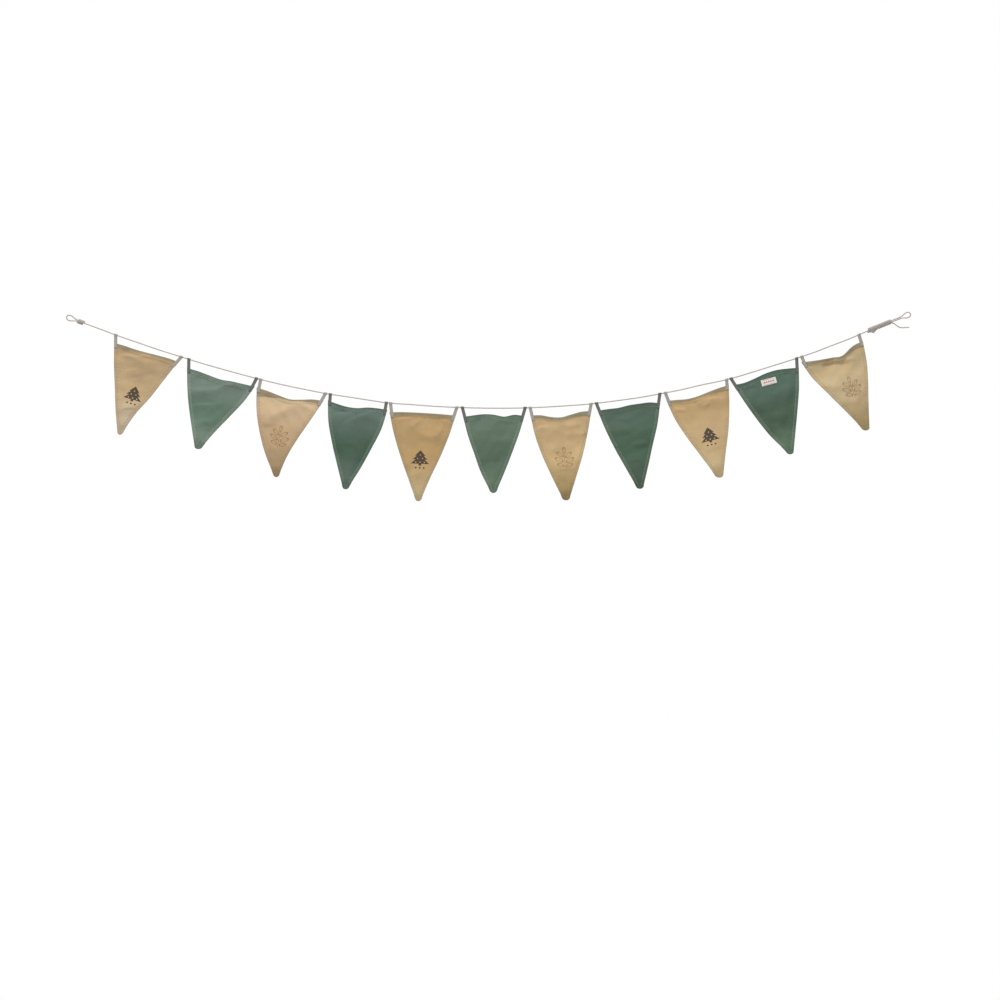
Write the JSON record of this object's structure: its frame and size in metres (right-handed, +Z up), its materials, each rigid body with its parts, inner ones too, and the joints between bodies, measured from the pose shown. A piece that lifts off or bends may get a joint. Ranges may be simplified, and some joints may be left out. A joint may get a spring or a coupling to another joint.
{
  "type": "fabric bunting on a cord",
  "caption": "String of hemmed triangular cloth pennants, tan and green in turn, hung by tape loops on a cord with a knotted eye at each end.",
  "frame": {"origin": "the point on which the left eye bears, on the cord's centre line at the far inside of the eye", "axes": "+X along the row from the left eye towards the right one, +Z up, -Y towards the viewer, who sees the cloth's face"},
  "size_m": [2.5354, 0.0196, 0.5687],
  "materials": {
    "tan_cloth": "matt plain-weave canvas",
    "green_cloth": "matt plain-weave canvas",
    "grey_tape": "matt ribbed tape",
    "beige_tape": "matt ribbed tape",
    "cord": "matt twisted cord",
    "label": "soft woven tape"
  },
  "bodies": {
    "root": {"left_eye": "cord", "left_knot": "cord", "line": "cord", "line_tail": "cord", "right_eye": "cord", "right_knot": "cord", "woven_label": "label", "pennant_01": "tan_cloth", "pennant_02": "green_cloth", "pennant_03": "tan_cloth", "pennant_04": "green_cloth", "pennant_05": "tan_cloth", "pennant_06": "green_cloth", "pennant_07": "tan_cloth", "pennant_08": "green_cloth", "pennant_09": "tan_cloth", "pennant_10": "green_cloth", "pennant_11": "tan_cloth", "loop_01_left": "beige_tape", "loop_01_right": "beige_tape", "loop_02_left": "grey_tape", "loop_02_right": "grey_tape", "loop_03_left": "beige_tape", "loop_03_right": "beige_tape", "loop_04_left": "grey_tape", "loop_04_right": "grey_tape", "loop_05_left": "beige_tape", "loop_05_right": "beige_tape", "loop_06_left": "grey_tape", "loop_06_right": "grey_tape", "loop_07_left": "beige_tape", "loop_07_right": "beige_tape", "loop_08_left": "grey_tape", "loop_08_right": "grey_tape", "loop_09_left": "beige_tape", "loop_09_right": "beige_tape", "loop_10_left": "grey_tape", "loop_10_right": "grey_tape", "loop_11_left": "beige_tape", "loop_11_right": "beige_tape"}
  },
  "joints": []
}
